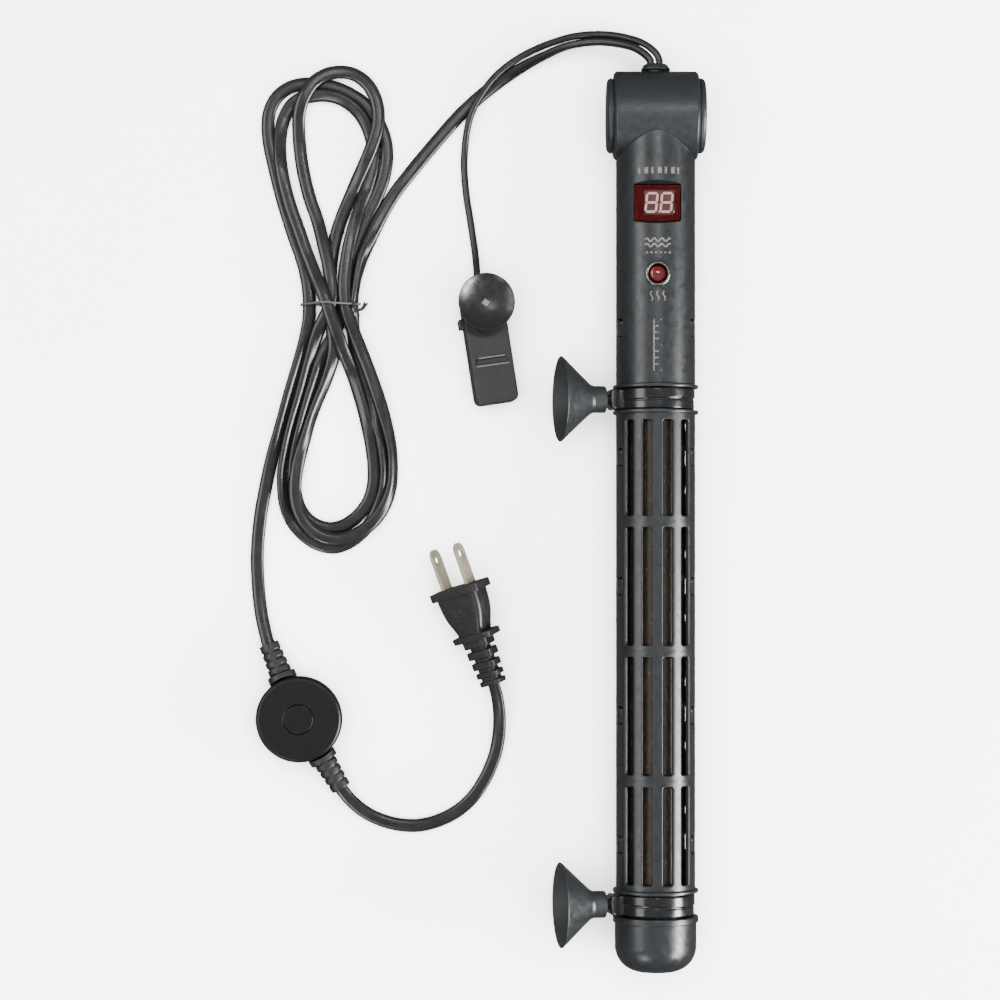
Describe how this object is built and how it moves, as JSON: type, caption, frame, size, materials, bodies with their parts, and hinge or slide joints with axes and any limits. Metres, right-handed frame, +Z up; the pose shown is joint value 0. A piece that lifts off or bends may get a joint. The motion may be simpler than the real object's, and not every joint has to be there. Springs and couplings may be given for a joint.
{
  "type": "submersible aquarium heater",
  "caption": "Submersible aquarium heater in a slotted guard, with a display head, clip-on suction-cup brackets, an external temperature sensor, an inline controller and a corded plug.",
  "frame": {"origin": "under the middle of the heater with its brackets, on the table that it lies on", "axes": "+Y along the heater from the end cap to the cable gland, +Z up through the display, +X to the side away from the suction cups"},
  "size_m": [0.1907, 0.3941, 0.0426],
  "materials": {
    "satin_black_plastic": "satin",
    "soft_rubber": "smooth soft rubber",
    "cord_pvc": "semi-gloss soft plastic",
    "controller_plastic": "semi-gloss",
    "smoked_quartz": "smoked",
    "ceramic": "matte ceramic",
    "resistance_wire": "drawn",
    "red_lens": "clear gloss",
    "chrome": "polished",
    "blade_metal": "nickel-plated, worn",
    "circuit_board": "solder-masked",
    "component_plastic": "matte",
    "component_metal": "satin",
    "display_face": "diffuse",
    "tie_coating": "plastic-coated wire"
  },
  "bodies": {
    "root": {"end_cap": "satin_black_plastic", "tube_cushion": "soft_rubber", "heating_tube": "smoked_quartz", "element_core": "ceramic", "heating_coil": "resistance_wire", "tube_stopper": "soft_rubber", "tube_seal": "soft_rubber", "middle_collar": "satin_black_plastic", "guard_front": "satin_black_plastic", "guard_rear": "satin_black_plastic", "housing_front": "satin_black_plastic", "housing_rear": "satin_black_plastic", "head_housing": "satin_black_plastic", "head_end_disc_left": "satin_black_plastic", "head_end_disc_right": "satin_black_plastic", "cable_gland": "satin_black_plastic", "gland_nut": "satin_black_plastic", "display_lens": "red_lens", "display_module": "display_face", "indicator_bezel": "chrome", "indicator_lens": "red_lens", "indicator_led": "red_lens", "control_board": "circuit_board", "power_relay": "component_plastic", "filter_capacitor": "component_metal", "thermal_fuse": "component_metal", "controller_base": "controller_plastic", "controller_cover": "controller_plastic", "controller_board": "circuit_board", "button_switch": "component_plastic", "strain_relief_in": "soft_rubber", "strain_relief_out": "soft_rubber", "plug_body": "soft_rubber", "plug_blade_left": "blade_metal", "plug_blade_right": "blade_metal", "sensor_base": "satin_black_plastic", "sensor_cover": "satin_black_plastic", "sensor_grommet": "soft_rubber", "thermistor": "component_metal", "sensor_board": "circuit_board", "cord_hank": "cord_pvc", "cord_tie": "tie_coating", "power_cord_heater": "cord_pvc", "power_cord_controller": "cord_pvc", "power_cord_plug": "cord_pvc", "sensor_lead": "cord_pvc"},
    "upper_bracket_body": {"upper_bracket": "satin_black_plastic"},
    "upper_cup_body": {"upper_suction_cup": "soft_rubber"},
    "lower_bracket_body": {"lower_bracket": "satin_black_plastic"},
    "lower_cup_body": {"lower_suction_cup": "soft_rubber"},
    "sensor_cup_body": {"sensor_cup": "soft_rubber"},
    "button_body": {"controller_button": "controller_plastic"}
  },
  "joints": [
    {"name": "upper_bracket_turn", "type": "hinge", "parent": "root", "child": "upper_bracket_body", "pos_m": [0.01125, 0.04915, 0.0183], "axis": [0, 1, 0], "continuous": true},
    {"name": "upper_cup_spin", "type": "hinge", "parent": "upper_bracket_body", "child": "upper_cup_body", "pos_m": [0.01125, 0.04915, 0.0183], "axis": [-0.986, 0, 0.1668], "continuous": true},
    {"name": "lower_bracket_turn", "type": "hinge", "parent": "root", "child": "lower_bracket_body", "pos_m": [0.01125, -0.16045, 0.0183], "axis": [0, 1, 0], "continuous": true},
    {"name": "lower_cup_spin", "type": "hinge", "parent": "lower_bracket_body", "child": "lower_cup_body", "pos_m": [0.01125, -0.16045, 0.0183], "axis": [-0.986, 0, 0.1668], "continuous": true},
    {"name": "sensor_cup_spin", "type": "hinge", "parent": "root", "child": "sensor_cup_body", "pos_m": [-0.062, 0.0896, 0.0018], "axis": [0.1546, 0.0239, 0.9877], "continuous": true},
    {"name": "controller_button_press", "type": "slide", "parent": "root", "child": "button_body", "axis": [0, 0, -1], "range_m": [0, 0.0008], "stiffness_N_per_m": 400}
  ]
}
